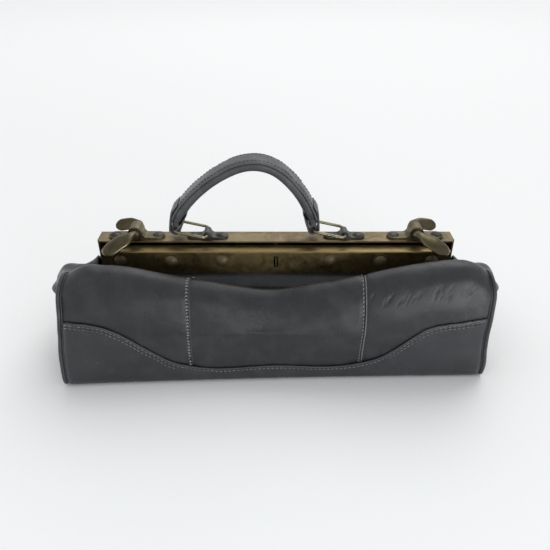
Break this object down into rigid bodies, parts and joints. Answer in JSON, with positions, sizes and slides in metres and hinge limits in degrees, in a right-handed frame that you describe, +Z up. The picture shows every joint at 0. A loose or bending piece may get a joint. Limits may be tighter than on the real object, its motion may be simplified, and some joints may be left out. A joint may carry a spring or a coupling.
{
  "type": "doctor bag",
  "caption": "Soft leather doctor bag with a hinged metal frame mouth, turning clips and an arched carrying handle on rings.",
  "frame": {"origin": "centre of the base on the floor, in the plane of the frames' hinge pins", "axes": "+X along the bag to its right seen from the front, +Y to its back, +Z up"},
  "size_m": [0.4976, 0.176, 0.2244],
  "materials": {
    "leather": "aged, grained",
    "piping_leather": "aged, rolled",
    "lining": "woven, matt",
    "board": "matt",
    "brass": "patinated",
    "clip_brass": "patinated, worn edges",
    "strap_brass": "dull patina",
    "ring_brass": "worn",
    "rivet_brass": "dark patina",
    "steel": "dull",
    "handle_leather": "aged, worn smooth"
  },
  "bodies": {
    "bag": {"base_board": "board", "base_wrap": "leather", "front_panel_left": "leather", "front_panel_centre": "leather", "front_panel_right": "leather", "back_panel_left": "leather", "back_panel_centre": "leather", "back_panel_right": "leather", "gusset_left": "leather", "gusset_right": "leather", "piping_front_left": "piping_leather", "piping_front_right": "piping_leather", "piping_back_left": "piping_leather", "piping_back_right": "piping_leather", "lining": "lining", "hinge_pin_left": "steel", "hinge_pin_right": "steel"},
    "rear_frame": {"rear_frame": "brass", "rear_clamp_strip": "steel", "rear_face_rivets": "rivet_brass", "lock_staple": "steel", "clip_saddle_left": "clip_brass", "clip_saddle_right": "clip_brass", "clip_saddle_rivets": "rivet_brass", "handle_saddle_left": "strap_brass", "handle_saddle_right": "strap_brass", "handle_saddle_rivets": "rivet_brass"},
    "front_frame": {"front_frame": "brass", "front_clamp_strip": "steel", "front_face_rivets": "rivet_brass", "front_rivet_washers": "brass"},
    "clip_left": {"clip_lever_left": "clip_brass"},
    "clip_right": {"clip_lever_right": "clip_brass"},
    "ring_left": {"ring_left": "ring_brass"},
    "ring_right": {"ring_right": "ring_brass"},
    "handle": {"handle_cover": "handle_leather", "handle_loop_left": "handle_leather", "handle_loop_right": "handle_leather"}
  },
  "joints": [
    {"name": "front_opening", "type": "hinge", "parent": "bag", "child": "front_frame", "pos_m": [0, 0, 0.06], "axis": [1, 0, 0], "range_deg": [0, 65], "deforming": ["front_panel_left", "front_panel_centre", "front_panel_right", "piping_front_left", "piping_front_right", "gusset_left", "gusset_right"]},
    {"name": "rear_opening", "type": "hinge", "parent": "bag", "child": "rear_frame", "pos_m": [0, 0, 0.06], "axis": [-1, 0, 0], "range_deg": [0, 65], "deforming": ["back_panel_left", "back_panel_centre", "back_panel_right", "piping_back_left", "piping_back_right"]},
    {"name": "clip_left_turn", "type": "hinge", "parent": "rear_frame", "child": "clip_left", "pos_m": [-0.157, 0.0065, 0.1375], "axis": [0, 1, 0], "range_deg": [0, 135]},
    {"name": "clip_right_turn", "type": "hinge", "parent": "rear_frame", "child": "clip_right", "pos_m": [0.157, 0.0065, 0.1375], "axis": [0, -1, 0], "range_deg": [0, 135]},
    {"name": "ring_left_swing", "type": "hinge", "parent": "rear_frame", "child": "ring_left", "pos_m": [-0.077, 0.0065, 0.135], "axis": [0, 1, 0], "range_deg": [0, 154]},
    {"name": "ring_right_swing", "type": "hinge", "parent": "rear_frame", "child": "ring_right", "pos_m": [0.077, 0.0065, 0.135], "axis": [0, 1, 0], "range_deg": [0, 154]},
    {"name": "handle_tilt", "type": "hinge", "parent": "ring_left", "child": "handle", "pos_m": [-0.11208, 0.0065, 0.1431], "axis": [0, 1, 0], "range_deg": [-154, 0]}
  ],
  "couplings": [
    {"joint": "ring_right_swing", "follows": "ring_left_swing", "ratio": 1},
    {"joint": "handle_tilt", "follows": "ring_left_swing", "ratio": -1}
  ]
}
